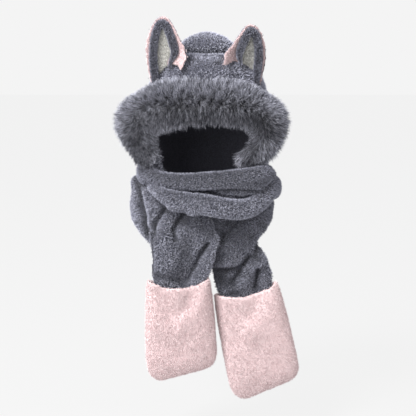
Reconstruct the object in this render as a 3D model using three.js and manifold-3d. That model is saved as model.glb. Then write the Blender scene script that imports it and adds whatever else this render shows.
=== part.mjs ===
// Plush animal hood with a scarf that is one piece with it, shown as it is worn.
// Millimetres, +Z up, the face opening looks along -Y, and -X is the left of the front view.
// The origin is the point inside the crown where the top of a head touches the hood.

import * as THREE from 'three';
import Module from 'manifold-3d';

const wasm = await Module();
wasm.setup();

// Space kept between two pieces that touch
const clearance = 0.3;

// Hood
const hoodWall = 9;
const hoodHalfWidth = 138;
const hoodFront = 112;
const hoodBack = 120;
const hoodDrop = 300;
const domeHalfWidth = 82;
const domeHalfDepth = 75;
const domeRise = 43;
const domeSetBack = 38;

// Face opening, closed below by the scarf
const openingTop = 112;
const openingHalfWidth = 104;

// Fur roll round the face opening
const brimHalfWidth = 184;
const brimTop = 44;
const brimAcross = 98;
const brimDeep = 64;
const brimReach = 108;
const brimMiddle = -11;
const lockLength = 12;
const lockRadius = 16;

// Ears
const earHeight = 146;
const earHalfWidth = 44;
const earSpread = 88;
const earPanel = 7;
const earBack = 6;
const earPad = 4;
const earRimRadius = 8.5;
const earCup = 15;
const earSeatDrop = 60;
const earSeatForward = 50;

// Scarf, two strips
const loopHalfWidth = 146;
const loopFront = 130;
const loopBack = 120;
const wrapHeight = 58;
const wrapThickness = 36;
const wrapDrop = 310;
const tailWidth = 152;
const tailThickness = 15;
const tailEnd = 500;

// Hand pockets on the scarf ends
const pocketHeight = 234;
const pocketWidth = 154;
const pocketDepth = 44;
const pocketWall = 6;
const leftTuck = 45;
const rightTuck = 21;
const mouthSag = 16;

// Finishes
const greyPlush = new THREE.MeshStandardMaterial({ color: 0x6f707c, roughness: 0.95, metalness: 0 });
const greyFur = new THREE.MeshStandardMaterial({ color: 0x5e5f6b, roughness: 0.9, metalness: 0 });
const darkFur = new THREE.MeshStandardMaterial({ color: 0x4d4e59, roughness: 0.92, metalness: 0 });
const pinkPlush = new THREE.MeshStandardMaterial({ color: 0xecd5d4, roughness: 0.95, metalness: 0 });
const palePlush = new THREE.MeshStandardMaterial({ color: 0xb5b4ac, roughness: 0.95, metalness: 0 });

// Growth of a faceted neighbour that leaves the clearance beside sloping faces too
const fit = 1.4 * clearance;
const curvedFit = 3 * clearance;

// Value of one column of a table at a place between its rows, on a smooth curve through them
function between(rows, column, at) {
  const last = rows.length - 1;
  const slopeAt = (i) => {
    const a = rows[Math.max(0, i - 1)];
    const b = rows[Math.min(last, i + 1)];
    return (b[column] - a[column]) / (b.at - a.at);
  };
  let i = 0;
  while (i < last - 1 && rows[i + 1].at < at) i += 1;
  const from = rows[i];
  const to = rows[i + 1];
  const span = to.at - from.at;
  const s = (at - from.at) / span;
  const s2 = s * s;
  const s3 = s2 * s;
  return (2 * s3 - 3 * s2 + 1) * from[column] + (s3 - 2 * s2 + s) * span * slopeAt(i)
    + (3 * s2 - 2 * s3) * to[column] + (s3 - s2) * span * slopeAt(i + 1);
}

// Point number k of a rounded outline of n points, each axis from -1 to 1
function rounded(k, n, power) {
  const angle = (2 * Math.PI * k) / n;
  const bend = (value) => Math.sign(value) * Math.abs(value) ** power;
  return [bend(Math.cos(angle)), bend(Math.sin(angle))];
}

// Closed solid from a list of triangles that share their corners
function solidOf(corners, faces) {
  let volume = 0;
  for (const [a, b, c] of faces) {
    volume += corners[a].dot(new THREE.Vector3().crossVectors(corners[b], corners[c]));
  }
  const turned = volume < 0 ? faces.map(([a, b, c]) => [a, c, b]) : faces;
  return new wasm.Manifold(new wasm.Mesh({
    numProp: 3,
    vertProperties: new Float32Array(corners.flatMap((p) => p.toArray())),
    triVerts: new Uint32Array(turned.flat()),
  }));
}

// Closed solid through a row of rings that have as many points each
function loft(rings) {
  const n = rings[0].length;
  const corners = rings.flat();
  const faces = [];
  for (let i = 0; i < rings.length - 1; i += 1) {
    for (let k = 0; k < n; k += 1) {
      const a = i * n + k;
      const b = i * n + ((k + 1) % n);
      faces.push([a, b, b + n], [a, b + n, a + n]);
    }
  }
  for (const [ring, inward] of [[0, true], [rings.length - 1, false]]) {
    const middle = new THREE.Vector3();
    rings[ring].forEach((p) => middle.addScaledVector(p, 1 / n));
    const tip = corners.push(middle) - 1;
    for (let k = 0; k < n; k += 1) {
      const a = ring * n + k;
      const b = ring * n + ((k + 1) % n);
      faces.push(inward ? [b, a, tip] : [a, b, tip]);
    }
  }
  return solidOf(corners, faces);
}

// Named mesh of a solid
function piece(name, solid, material) {
  const { vertProperties, triVerts } = solid.getMesh();
  const geometry = new THREE.BufferGeometry();
  geometry.setAttribute('position', new THREE.BufferAttribute(new Float32Array(vertProperties), 3));
  geometry.setIndex(new THREE.BufferAttribute(new Uint32Array(triVerts), 1));
  geometry.computeVertexNormals();
  const mesh = new THREE.Mesh(geometry, material);
  mesh.name = name;
  return mesh;
}

// Crown and sides of the hood by level, as shares of the hood's reach each way
const hoodLevels = [
  { at: 0, level: 0, wide: 0.1, fore: 0.24, aft: 0.1 },
  { at: 1, level: 0.012, wide: 0.45, fore: 0.5, aft: 0.45 },
  { at: 2, level: 0.062, wide: 0.68, fore: 0.73, aft: 0.72 },
  { at: 3, level: 0.145, wide: 0.83, fore: 0.88, aft: 0.87 },
  { at: 4, level: 0.26, wide: 0.93, fore: 0.97, aft: 0.96 },
  { at: 5, level: 0.42, wide: 0.99, fore: 1, aft: 1 },
  { at: 6, level: 0.58, wide: 1, fore: 0.96, aft: 0.97 },
  { at: 7, level: 0.73, wide: 0.99, fore: 0.88, aft: 0.88 },
  { at: 8, level: 0.83, wide: 0.92, fore: 0.8, aft: 0.77 },
  { at: 9, level: 0.91, wide: 0.77, fore: 0.73, aft: 0.68 },
  { at: 10, level: 1, wide: 0.66, fore: 0.68, aft: 0.63 },
];
const hoodLastRow = 10;
const hoodPoints = 24;
const hoodSteps = 13;
const hoodRound = 0.88;

// Body of the hood, grown all round by an amount, or shrunk to its inside and run past its open end
function hoodBody(grow, pastEnd) {
  const rings = [];
  for (let i = 0; i <= hoodSteps; i += 1) {
    const at = (hoodLastRow * i) / hoodSteps;
    const wide = between(hoodLevels, 'wide', at) * hoodHalfWidth + grow;
    const fore = between(hoodLevels, 'fore', at) * hoodFront + grow;
    const aft = between(hoodLevels, 'aft', at) * hoodBack + grow;
    const level = between(hoodLevels, 'level', at);
    const past = i === hoodSteps ? pastEnd : 0;
    const z = hoodWall + grow - level * (hoodDrop + hoodWall + grow) - past;
    const ring = [];
    for (let k = 0; k < hoodPoints; k += 1) {
      const [side, depth] = rounded(k, hoodPoints, hoodRound);
      ring.push(new THREE.Vector3(side * wide, depth * (depth < 0 ? fore : aft), z));
    }
    rings.push(ring);
  }
  return loft(rings);
}

const domeRings = 8;
const domePoints = 16;

// Slack rear dome that bulges up behind the crease across the crown
function domeBody(grow) {
  const rings = [];
  for (let i = 0; i < domeRings; i += 1) {
    const polar = (Math.PI * (i + 0.4)) / (domeRings - 0.2);
    const ring = [];
    for (let k = 0; k < domePoints; k += 1) {
      const around = (2 * Math.PI * k) / domePoints;
      ring.push(new THREE.Vector3(
        Math.sin(polar) * Math.cos(around) * (domeHalfWidth + grow),
        domeSetBack + Math.sin(polar) * Math.sin(around) * (domeHalfDepth + grow),
        Math.cos(polar) * (domeHalfWidth + grow) + hoodWall + domeRise - domeHalfWidth,
      ));
    }
    rings.push(ring);
  }
  return loft(rings);
}

// Width of the face opening by level, as shares of its half width
const openingLevels = [
  { at: 0, level: 0, left: 0.72, right: 0.72 },
  { at: 1, level: 0.1, left: 1, right: 1 },
  { at: 2, level: 0.32, left: 0.98, right: 0.94 },
  { at: 3, level: 0.55, left: 0.88, right: 0.74 },
  { at: 4, level: 0.75, left: 0.78, right: 0.62 },
  { at: 5, level: 1.15, left: 0.6, right: 0.55 },
];
const openingLastRow = 5;
const openingSteps = 10;

// Cutter for the face opening, which runs down to the open bottom
function openingBody() {
  const outline = new THREE.Shape();
  for (let i = 0; i <= 2 * openingSteps; i += 1) {
    const left = i <= openingSteps;
    const at = (openingLastRow * (left ? i : 2 * openingSteps - i)) / openingSteps;
    const width = between(openingLevels, left ? 'left' : 'right', at) * openingHalfWidth;
    const drop = openingTop + between(openingLevels, 'level', at) * (hoodDrop - openingTop);
    if (i === 0) outline.moveTo(-width, -drop);
    else outline.lineTo(left ? -width : width, -drop);
  }
  const slab = new THREE.ExtrudeGeometry(outline, { depth: 2 * hoodFront, bevelEnabled: false });
  slab.rotateX(Math.PI / 2);
  slab.translate(0, -hoodFront / 4, 0);
  slab.deleteAttribute('normal');
  slab.deleteAttribute('uv');
  const position = slab.getAttribute('position');
  const corners = [];
  const seen = new Map();
  const faces = [];
  for (let f = 0; f < position.count; f += 3) {
    faces.push([0, 1, 2].map((j) => {
      const p = new THREE.Vector3().fromBufferAttribute(position, f + j);
      const key = p.toArray().map((v) => v.toFixed(4)).join();
      if (!seen.has(key)) seen.set(key, corners.push(p) - 1);
      return seen.get(key);
    }));
  }
  return solidOf(corners, faces);
}

const hoodOuter = hoodBody(0, 0).add(domeBody(0));
const hoodInner = hoodBody(-hoodWall, hoodWall).add(domeBody(-hoodWall));
const hoodShell = hoodOuter.subtract(hoodInner).subtract(openingBody());
const hoodRoom = hoodBody(fit, fit).add(domeBody(fit));

// Fur roll from the lower end of one cheek over the forehead, right half, as shares of its sizes
const brimRows = [
  { at: 0, out: 0, drop: 0, reach: 1, across: 1, deep: 1 },
  { at: 1, out: 0.26, drop: 0.01, reach: 0.99, across: 0.99, deep: 1 },
  { at: 2, out: 0.5, drop: 0.04, reach: 0.95, across: 0.95, deep: 1 },
  { at: 3, out: 0.69, drop: 0.14, reach: 0.86, across: 0.88, deep: 0.97 },
  { at: 4, out: 0.79, drop: 0.33, reach: 0.77, across: 0.81, deep: 0.95 },
  { at: 5, out: 0.8, drop: 0.6, reach: 0.71, across: 0.73, deep: 0.9 },
  { at: 6, out: 0.75, drop: 0.88, reach: 0.69, across: 0.66, deep: 0.78 },
  { at: 7, out: 0.67, drop: 1.17, reach: 0.69, across: 0.58, deep: 0.62 },
  { at: 8, out: 0.64, drop: 1.46, reach: 0.69, across: 0.5, deep: 0.46 },
];
const brimLastRow = 8;
const brimSteps = 12;
const brimPoints = 12;

// Place, tangent and cross directions of the fur roll at a place along it, from -1 to 1
function brimStation(s) {
  const centre = (value) => {
    const at = Math.min(1, Math.abs(value)) * brimLastRow;
    const out = between(brimRows, 'out', at) * (brimHalfWidth - lockLength);
    return new THREE.Vector3(
      brimMiddle + Math.sign(value) * out,
      -between(brimRows, 'reach', at) * brimReach,
      -brimTop - brimAcross / 2 - between(brimRows, 'drop', at) * brimAcross,
    );
  };
  const step = 0.02;
  const tangent = centre(Math.min(1, s + step)).sub(centre(Math.max(-1, s - step))).normalize();
  const front = new THREE.Vector3(0, -1, 0);
  front.addScaledVector(tangent, -front.dot(tangent)).normalize();
  const outward = new THREE.Vector3().crossVectors(front, tangent).normalize();
  if (outward.dot(new THREE.Vector3(s, 0, 1 - Math.abs(s))) < 0) outward.negate();
  const at = Math.abs(s) * brimLastRow;
  return {
    centre: centre(s),
    front,
    outward,
    halfAcross: (between(brimRows, 'across', at) * brimAcross) / 2,
    halfDeep: (between(brimRows, 'deep', at) * brimDeep) / 2,
  };
}

function brimPoint(station, angle, grow) {
  return station.centre.clone()
    .addScaledVector(station.outward, Math.cos(angle) * (station.halfAcross + grow))
    .addScaledVector(station.front, Math.sin(angle) * (station.halfDeep + grow));
}

function brimBody() {
  const rings = [];
  for (let i = -brimSteps; i <= brimSteps; i += 1) {
    const station = brimStation(i / brimSteps);
    const ring = [];
    for (let k = 0; k < brimPoints; k += 1) {
      ring.push(brimPoint(station, (2 * Math.PI * k) / brimPoints, 0));
    }
    rings.push(ring);
  }
  return loft(rings);
}

// Locks of fur fused to the roll, row by row round its free side
const lockAngles = [-6, 34, 76, 118, 158, 194];
const lockStations = 8;
const lockSides = 4;
const lockDroop = 0.25;
const lockSpan = 0.98;

function lockBody(station, angle) {
  const root = brimPoint(station, angle, -lockRadius);
  const tip = brimPoint(station, angle, lockLength);
  tip.z -= lockLength * lockDroop;
  const along = tip.clone().sub(root).normalize();
  const side = new THREE.Vector3(0, 0, 1).cross(along).normalize();
  const other = new THREE.Vector3().crossVectors(along, side);
  const ring = [];
  for (let k = 0; k < lockSides; k += 1) {
    const turn = (2 * Math.PI * k) / lockSides;
    ring.push(root.clone()
      .addScaledVector(side, Math.cos(turn) * lockRadius)
      .addScaledVector(other, Math.sin(turn) * lockRadius));
  }
  const corners = [...ring, root, tip];
  const faces = [];
  for (let k = 0; k < lockSides; k += 1) {
    const next = (k + 1) % lockSides;
    faces.push([k, next, lockSides + 1], [next, k, lockSides]);
  }
  return solidOf(corners, faces);
}

function furBrim(room) {
  let roll = brimBody();
  for (let i = -lockStations; i <= lockStations; i += 1) {
    for (let row = 0; row < lockAngles.length; row += 1) {
      const shift = row % 2 ? 0.5 : 0;
      const s = ((i + shift) / (lockStations + 1)) * lockSpan;
      const angle = THREE.MathUtils.degToRad(lockAngles[row]);
      roll = roll.add(lockBody(brimStation(s), angle));
    }
  }
  return roll.subtract(hoodRoom).subtract(room);
}

// Outline of an ear from its seat to its tip, as shares of its height and half width
const earRows = [
  { at: 0, rise: 0, outer: 0.62, inner: 0.27, leaf: 0 },
  { at: 1, rise: 0.15, outer: 0.73, inner: 0.45, leaf: 0.4 },
  { at: 2, rise: 0.3, outer: 0.82, inner: 0.86, leaf: 0.9 },
  { at: 3, rise: 0.42, outer: 0.86, inner: 1.08, leaf: 1 },
  { at: 4, rise: 0.55, outer: 0.88, inner: 1.02, leaf: 0.7 },
  { at: 5, rise: 0.7, outer: 0.8, inner: 0.8, leaf: 0.2 },
  { at: 6, rise: 0.86, outer: 0.58, inner: 0.55, leaf: 0 },
  { at: 7, rise: 0.96, outer: 0.33, inner: 0.31, leaf: 0 },
  { at: 8, rise: 1, outer: 0.08, inner: 0.08, leaf: 0 },
];
const earLastRow = 8;
const earSteps = 8;
const earPoints = 12;
const earSquare = 0.8;
const leafStart = 0.45;

// Middle surface of the cupped ear at a place across and up it, in the ear's own frame
function earSurface(across, at, flare) {
  const side = across < 0 ? 'outer' : 'inner';
  const curl = between(earRows, 'leaf', at);
  const leaf = Math.max(0, across - leafStart) / (1 - leafStart);
  return new THREE.Vector3(
    (across * between(earRows, side, at) + flare * curl * leaf) * earHalfWidth,
    -earCup * across * across - curl * earCup * leaf * leaf,
    between(earRows, 'rise', at) * earHeight,
  );
}

// Rings of a cupped panel of an ear: share of the outline that it fills, last row that it reaches,
// thickness, how far it lies in front of the middle surface, and growth all round and outward
function earPanelBody({ share, top, thick, forward, grow, widen, flare }) {
  const rings = [];
  for (let i = 0; i <= earSteps; i += 1) {
    const at = (top * i) / earSteps;
    const ring = [];
    for (let k = 0; k < earPoints; k += 1) {
      const [across, through] = rounded(k, earPoints, earSquare);
      const p = earSurface(across * share, at, flare);
      p.x += across ** 3 * grow + (across < 0 ? across * widen : 0);
      p.y += (through * thick) / 2 + Math.sign(through) * grow - forward;
      p.z += i === earSteps ? grow : 0;
      ring.push(p);
    }
    rings.push(ring);
  }
  return rings;
}

// Path of the fur rim, as shares of the outline and rows of the table
const rim = { across: 0.58, bend: 0.45, from: 0.1, rows: 6.3, sweep: 0.85, steps: 12, points: 6 };

// Rings of the fur rim: up the outer side, over the tip and down the inner side
function earRimRings(flare) {
  const place = (q) => {
    const across = -Math.sign(Math.cos(q)) * Math.abs(Math.cos(q)) ** rim.bend * rim.across;
    const p = earSurface(across, rim.from + rim.rows * Math.abs(Math.sin(q)) ** rim.sweep, flare);
    p.y -= earPanel / 2 + earRimRadius * 0.8;
    return p;
  };
  const rings = [];
  const step = 0.04;
  for (let i = 0; i <= rim.steps; i += 1) {
    const q = (Math.PI * i) / rim.steps;
    const along = place(Math.min(Math.PI, q + step)).sub(place(Math.max(0, q - step))).normalize();
    const front = new THREE.Vector3(0, -1, 0);
    front.addScaledVector(along, -front.dot(along)).normalize();
    const side = new THREE.Vector3().crossVectors(front, along);
    const ring = [];
    for (let k = 0; k < rim.points; k += 1) {
      const turn = (2 * Math.PI * k) / rim.points;
      ring.push(place(q)
        .addScaledVector(side, Math.cos(turn) * earRimRadius)
        .addScaledVector(front, Math.sin(turn) * earRimRadius));
    }
    rings.push(ring);
  }
  return rings;
}

// How each ear stands: turned outward and leaned out, in degrees, set inward and lower in mm,
// and how far the inner edge of its front flares out as a leaf
const ears = [
  { name: 'left', mirror: 1, turn: 8, lean: 1, inward: 0, lower: 3, flare: 0.14 },
  { name: 'right', mirror: -1, turn: 14, lean: 6, inward: 12, lower: 18, flare: 0.45 },
];

function earPieces({ name, mirror, turn, lean, inward, lower, flare }) {
  const seat = [inward - earSpread, -earSeatForward, -earSeatDrop - lower];
  const stand = new THREE.Matrix4()
    .makeScale(mirror, 1, 1)
    .multiply(new THREE.Matrix4().makeTranslation(...seat))
    .multiply(new THREE.Matrix4().makeRotationY(-THREE.MathUtils.degToRad(lean)))
    .multiply(new THREE.Matrix4().makeRotationZ(-THREE.MathUtils.degToRad(turn)));
  const stood = (rings) => loft(rings.map((ring) => ring.map((p) => p.clone().applyMatrix4(stand))));
  const seated = (rings) => stood(rings).subtract(hoodRoom);
  const front = { share: 1, top: earLastRow, thick: earPanel, forward: 0, grow: 0, widen: 0, flare };
  const behind = -(earPanel + earBack) / 2 - clearance;
  const back = { share: 1, top: 7.9, thick: earBack, forward: behind, grow: 0, widen: 3, flare };
  const ahead = (earPanel + earPad) / 2 + clearance;
  const pad = { share: 0.46, top: 6.4, thick: earPad, forward: ahead, grow: 0, widen: 0, flare };
  const frontRoom = stood(earPanelBody({ ...front, grow: curvedFit }));
  const padRoom = stood(earPanelBody({ ...pad, share: 0.49, top: 6.5, grow: curvedFit }));
  return [
    piece(`ear_${name}_back`, seated(earPanelBody(back)).subtract(frontRoom), greyPlush),
    piece(`ear_${name}_front`, seated(earPanelBody(front)), pinkPlush),
    piece(`ear_${name}_centre`, seated(earPanelBody(pad)).subtract(frontRoom), palePlush),
    piece(`ear_${name}_rim`, seated(earRimRings(flare)).subtract(frontRoom).subtract(padRoom), darkFur),
  ];
}

// Strip that starts at the left corner of the hood, crosses the front as the lower wrap, goes round
// the neck and hangs as the left tail. Shares of the loop, wrap and tail sizes. spread turns the
// strip from standing (0) to hanging flat (90), and dent is how deep the fold at place fold lies.
const leftStrip = [
  { at: 0, side: -0.82, depth: -0.5, level: 0.85, hang: 0, band: 0.28, panel: 0, roll: 0.67, flat: 0,
    spread: 0, fold: 0, dent: 0 },
  { at: 1, side: -0.685, depth: -0.815, level: 0.897, hang: 0, band: 0.41, panel: 0, roll: 0.89, flat: 0,
    spread: 0, fold: 0, dent: 0 },
  { at: 2, side: -0.356, depth: -0.954, level: 0.955, hang: 0, band: 0.76, panel: 0, roll: 1, flat: 0,
    spread: 0, fold: 0, dent: 0 },
  { at: 3, side: 0, depth: -1, level: 0.971, hang: 0, band: 0.79, panel: 0, roll: 1, flat: 0,
    spread: 0, fold: 0, dent: 0 },
  { at: 4, side: 0.452, depth: -0.954, level: 1.003, hang: 0, band: 0.76, panel: 0, roll: 1, flat: 0,
    spread: 0, fold: 0, dent: 0 },
  { at: 5, side: 0.726, depth: -0.79, level: 0.974, hang: 0, band: 0.69, panel: 0, roll: 1, flat: 0,
    spread: 0, fold: 0, dent: 0 },
  { at: 6, side: 0.938, depth: -0.508, level: 0.884, hang: 0, band: 0.72, panel: 0, roll: 0.94, flat: 0,
    spread: 0, fold: 0, dent: 0 },
  { at: 7, side: 1, depth: -0.154, level: 0.903, hang: 0, band: 0.86, panel: 0, roll: 0.89, flat: 0,
    spread: 0, fold: 0, dent: 0 },
  { at: 8, side: 0.904, depth: 0.375, level: 0.948, hang: 0, band: 0.93, panel: 0, roll: 0.89, flat: 0,
    spread: 0, fold: 0, dent: 0 },
  { at: 9, side: 0.616, depth: 0.817, level: 0.98, hang: 0, band: 0.97, panel: 0, roll: 0.89, flat: 0,
    spread: 0, fold: 0, dent: 0 },
  { at: 10, side: 0.205, depth: 1.017, level: 0.997, hang: 0, band: 1, panel: 0, roll: 0.89, flat: 0,
    spread: 0, fold: 0, dent: 0 },
  { at: 11, side: -0.274, depth: 1.008, level: 1.003, hang: 0, band: 1, panel: 0, roll: 0.89, flat: 0,
    spread: 0, fold: 0, dent: 0 },
  { at: 12, side: -0.685, depth: 0.75, level: 1.01, hang: 0, band: 1.07, panel: 0, roll: 0.83, flat: 0,
    spread: 0, fold: 0, dent: 0 },
  { at: 13, side: -0.95, depth: 0.375, level: 0.985, hang: 0, band: 1.5, panel: 0, roll: 0.78, flat: 0,
    spread: 0, fold: 0.3, dent: 0 },
  { at: 14, side: -1.09, depth: -0.04, level: 0.972, hang: 0, band: 1.66, panel: 0, roll: 0.67, flat: 0,
    spread: 0, fold: 0.3, dent: 0.3 },
  { at: 15, side: -0.915, depth: -0.446, level: 1.05, hang: 0, band: 0, panel: 0.66, roll: 0, flat: 1.33,
    spread: 10, fold: 0.3, dent: 0.4 },
  { at: 16, side: -0.671, depth: -0.708, level: 1.103, hang: 0, band: 0, panel: 0.8, roll: 0, flat: 1.07,
    spread: 35, fold: 0.3, dent: 0.3 },
  { at: 17, side: -0.345, depth: -0.8, level: 1, hang: 0.22, band: 0, panel: 1.1, roll: 0, flat: 1,
    spread: 60, fold: 0.5, dent: 0.2 },
  { at: 18, side: -0.35, depth: -0.862, level: 1, hang: 0.41, band: 0, panel: 1, roll: 0, flat: 1,
    spread: 88, fold: 0.58, dent: 0.6 },
  { at: 19, side: -0.37, depth: -0.908, level: 1, hang: 0.63, band: 0, panel: 0.92, roll: 0, flat: 1,
    spread: 90, fold: 0.4, dent: 0.9 },
  { at: 20, side: -0.43, depth: -0.892, level: 1, hang: 0.816, band: 0, panel: 0.82, roll: 0, flat: 1,
    spread: 90, fold: 0.16, dent: 0.6 },
  { at: 21, side: -0.435, depth: -0.854, level: 1, hang: 1, band: 0, panel: 0.74, roll: 0, flat: 1,
    spread: 90, fold: 0.1, dent: 0 },
];

// Strip that starts at the right corner of the hood, crosses the front as the upper wrap, goes
// round the neck inside the other strip and hangs as the right tail
const rightStrip = [
  { at: 0, side: 0.935, depth: -0.44, level: 0.778, hang: 0, band: 0.66, panel: 0, roll: 0.78, flat: 0,
    spread: 0, fold: -0.4, dent: 0 },
  { at: 1, side: 0.77, depth: -0.74, level: 0.812, hang: 0, band: 0.98, panel: 0, roll: 0.89, flat: 0,
    spread: 0, fold: -0.35, dent: 0.4 },
  { at: 2, side: 0.37, depth: -0.869, level: 0.826, hang: 0, band: 0.97, panel: 0, roll: 0.94, flat: 0,
    spread: 0, fold: -0.35, dent: 0.5 },
  { at: 3, side: 0, depth: -0.892, level: 0.816, hang: 0, band: 0.69, panel: 0, roll: 0.94, flat: 0,
    spread: 0, fold: -0.6, dent: 0 },
  { at: 4, side: -0.342, depth: -0.862, level: 0.823, hang: 0, band: 0.59, panel: 0, roll: 0.89, flat: 0,
    spread: 0, fold: 0, dent: 0 },
  { at: 5, side: -0.651, depth: -0.746, level: 0.813, hang: 0, band: 0.52, panel: 0, roll: 0.78, flat: 0,
    spread: 0, fold: 0, dent: 0 },
  { at: 6, side: -0.87, depth: -0.492, level: 0.8, hang: 0, band: 0.78, panel: 0, roll: 0.67, flat: 0,
    spread: 0, fold: 0, dent: 0 },
  { at: 7, side: -0.959, depth: -0.115, level: 0.8, hang: 0, band: 0.86, panel: 0, roll: 0.72, flat: 0,
    spread: 0, fold: 0, dent: 0 },
  { at: 8, side: -0.87, depth: 0.35, level: 0.806, hang: 0, band: 0.86, panel: 0, roll: 0.78, flat: 0,
    spread: 0, fold: 0, dent: 0 },
  { at: 9, side: -0.582, depth: 0.767, level: 0.813, hang: 0, band: 0.9, panel: 0, roll: 0.83, flat: 0,
    spread: 0, fold: 0, dent: 0 },
  { at: 10, side: -0.137, depth: 0.967, level: 0.813, hang: 0, band: 0.9, panel: 0, roll: 0.83, flat: 0,
    spread: 0, fold: 0, dent: 0 },
  { at: 11, side: 0.288, depth: 0.883, level: 0.826, hang: 0, band: 0.9, panel: 0, roll: 0.78, flat: 0,
    spread: 0, fold: 0, dent: 0 },
  { at: 12, side: 0.548, depth: 0.583, level: 0.877, hang: 0, band: 0.97, panel: 0, roll: 0.72, flat: 0,
    spread: 0, fold: 0, dent: 0 },
  { at: 13, side: 0.678, depth: 0.25, level: 0.952, hang: 0, band: 1.14, panel: 0, roll: 0.67, flat: 0,
    spread: 0, fold: 0, dent: 0 },
  { at: 14, side: 0.945, depth: -0.092, level: 0.985, hang: 0, band: 1.2, panel: 0, roll: 0.56, flat: 0,
    spread: 8, fold: 0, dent: 0 },
  { at: 15, side: 0.82, depth: -0.46, level: 1.06, hang: 0, band: 0, panel: 0.5, roll: 0, flat: 1.13,
    spread: -12, fold: 0, dent: 0.2 },
  { at: 16, side: 0.57, depth: -0.631, level: 1.1, hang: 0, band: 0, panel: 0.78, roll: 0, flat: 1,
    spread: -40, fold: 0.1, dent: 0.3 },
  { at: 17, side: 0.4, depth: -0.677, level: 1, hang: 0.25, band: 0, panel: 0.84, roll: 0, flat: 1,
    spread: -65, fold: 0.2, dent: 0.4 },
  { at: 18, side: 0.37, depth: -0.708, level: 1, hang: 0.432, band: 0, panel: 0.78, roll: 0, flat: 1,
    spread: -90, fold: -0.2, dent: 0.4 },
  { at: 19, side: 0.445, depth: -0.746, level: 1, hang: 0.642, band: 0, panel: 0.86, roll: 0, flat: 1,
    spread: -90, fold: -0.3, dent: 0.7 },
  { at: 20, side: 0.552, depth: -0.754, level: 1, hang: 0.884, band: 0, panel: 0.9, roll: 0, flat: 1,
    spread: -95, fold: -0.5, dent: 0.5 },
  { at: 21, side: 0.623, depth: -0.746, level: 1, hang: 1.105, band: 0, panel: 0.76, roll: 0, flat: 1,
    spread: -101, fold: -0.5, dent: 0 },
];
const stripLastRow = 21;
const stripSteps = 36;
const stripPoints = 14;
const stripRound = 0.82;
const foldWidth = 0.24;
const ridgeOffset = 1.6;
const ridgeShare = 0.5;
const tailHang = tailEnd - wrapDrop;

function stripCentre(strip, at) {
  const depth = between(strip, 'depth', at);
  return new THREE.Vector3(
    between(strip, 'side', at) * loopHalfWidth,
    depth * (depth < 0 ? loopFront : loopBack),
    -between(strip, 'level', at) * wrapDrop - between(strip, 'hang', at) * tailHang,
  );
}

// Solid of a strip, grown all round by an amount
function stripBody(strip, facing, grow) {
  const rings = [];
  for (let i = 0; i <= stripSteps; i += 1) {
    const at = (stripLastRow * i) / stripSteps;
    const centre = stripCentre(strip, at);
    const ahead = stripCentre(strip, Math.min(stripLastRow, at + 0.1));
    const along = ahead.sub(stripCentre(strip, Math.max(0, at - 0.1))).normalize();
    const spread = THREE.MathUtils.degToRad(between(strip, 'spread', at));
    const across = new THREE.Vector3(Math.sin(spread), 0, Math.cos(spread));
    across.addScaledVector(along, -across.dot(along)).normalize();
    const outward = new THREE.Vector3().crossVectors(along, across).multiplyScalar(facing);
    const panel = between(strip, 'panel', at);
    const halfWide = (between(strip, 'band', at) * wrapHeight + panel * tailWidth) / 2;
    const halfThick = (between(strip, 'roll', at) * wrapThickness
      + between(strip, 'flat', at) * tailThickness) / 2;
    centre.addScaledVector(along, i === 0 ? -grow : (i === stripSteps ? grow : 0));
    const fold = between(strip, 'fold', at);
    const dent = between(strip, 'dent', at) * tailThickness;
    const ring = [];
    for (let k = 0; k < stripPoints; k += 1) {
      const [wide, thick] = rounded(k, stripPoints, stripRound);
      const valley = Math.exp(-(((wide - fold) / foldWidth) ** 2));
      const ridge = ridgeShare * Math.exp(-(((wide - fold) / foldWidth - ridgeOffset) ** 2));
      const share = thick > -0.1 ? 1 : Math.min(1, Math.max(0, panel * 1.3));
      ring.push(centre.clone()
        .addScaledVector(across, wide * (halfWide + grow))
        .addScaledVector(outward, thick * (halfThick + grow) + dent * share * (ridge - valley)));
    }
    rings.push(ring);
  }
  return loft(rings);
}

// Outline of a hand pocket from its mouth down, as shares of its sizes
const pocketRows = [
  { at: 0, drop: 0, wide: 0.89, deep: 0.92 },
  { at: 1, drop: 0.13, wide: 0.93, deep: 0.96 },
  { at: 2, drop: 0.36, wide: 0.97, deep: 1 },
  { at: 3, drop: 0.6, wide: 0.99, deep: 1 },
  { at: 4, drop: 0.8, wide: 1, deep: 0.9 },
  { at: 5, drop: 0.91, wide: 0.95, deep: 0.66 },
  { at: 6, drop: 0.97, wide: 0.82, deep: 0.4 },
  { at: 7, drop: 1, wide: 0.62, deep: 0.16 },
];
const pocketLastRow = 7;
const pocketSteps = 8;
const pocketPoints = 16;
const pocketSquare = 0.62;

// Body of a pocket hung from the middle of its mouth and tilted, grown or shrunk by an amount
function pocketBody({ hangs, tilt, slant, stretch, breadth }, grow, open) {
  const turn = new THREE.Matrix4()
    .makeTranslation(hangs.x, hangs.y, hangs.z)
    .multiply(new THREE.Matrix4().makeRotationY(-THREE.MathUtils.degToRad(tilt)));
  const rings = [];
  for (let i = 0; i <= pocketSteps; i += 1) {
    const at = (pocketLastRow * i) / pocketSteps;
    const drop = between(pocketRows, 'drop', at);
    const lift = i === 0 ? open : 0;
    const base = i === pocketSteps ? grow : 0;
    const ring = [];
    for (let k = 0; k < pocketPoints; k += 1) {
      const [wide, deep] = rounded(k, pocketPoints, pocketSquare);
      const sag = mouthSag * (1 - wide * wide) * (1 - drop) ** 3;
      const rise = slant * wide * (pocketWidth / 2) * drop ** 2;
      ring.push(new THREE.Vector3(
        wide * ((between(pocketRows, 'wide', at) * breadth * pocketWidth) / 2 + grow),
        deep * ((between(pocketRows, 'deep', at) * pocketDepth) / 2 + grow),
        lift - drop * stretch * pocketHeight - sag - base + rise,
      ).applyMatrix4(turn));
    }
    rings.push(ring);
  }
  return loft(rings);
}

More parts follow.
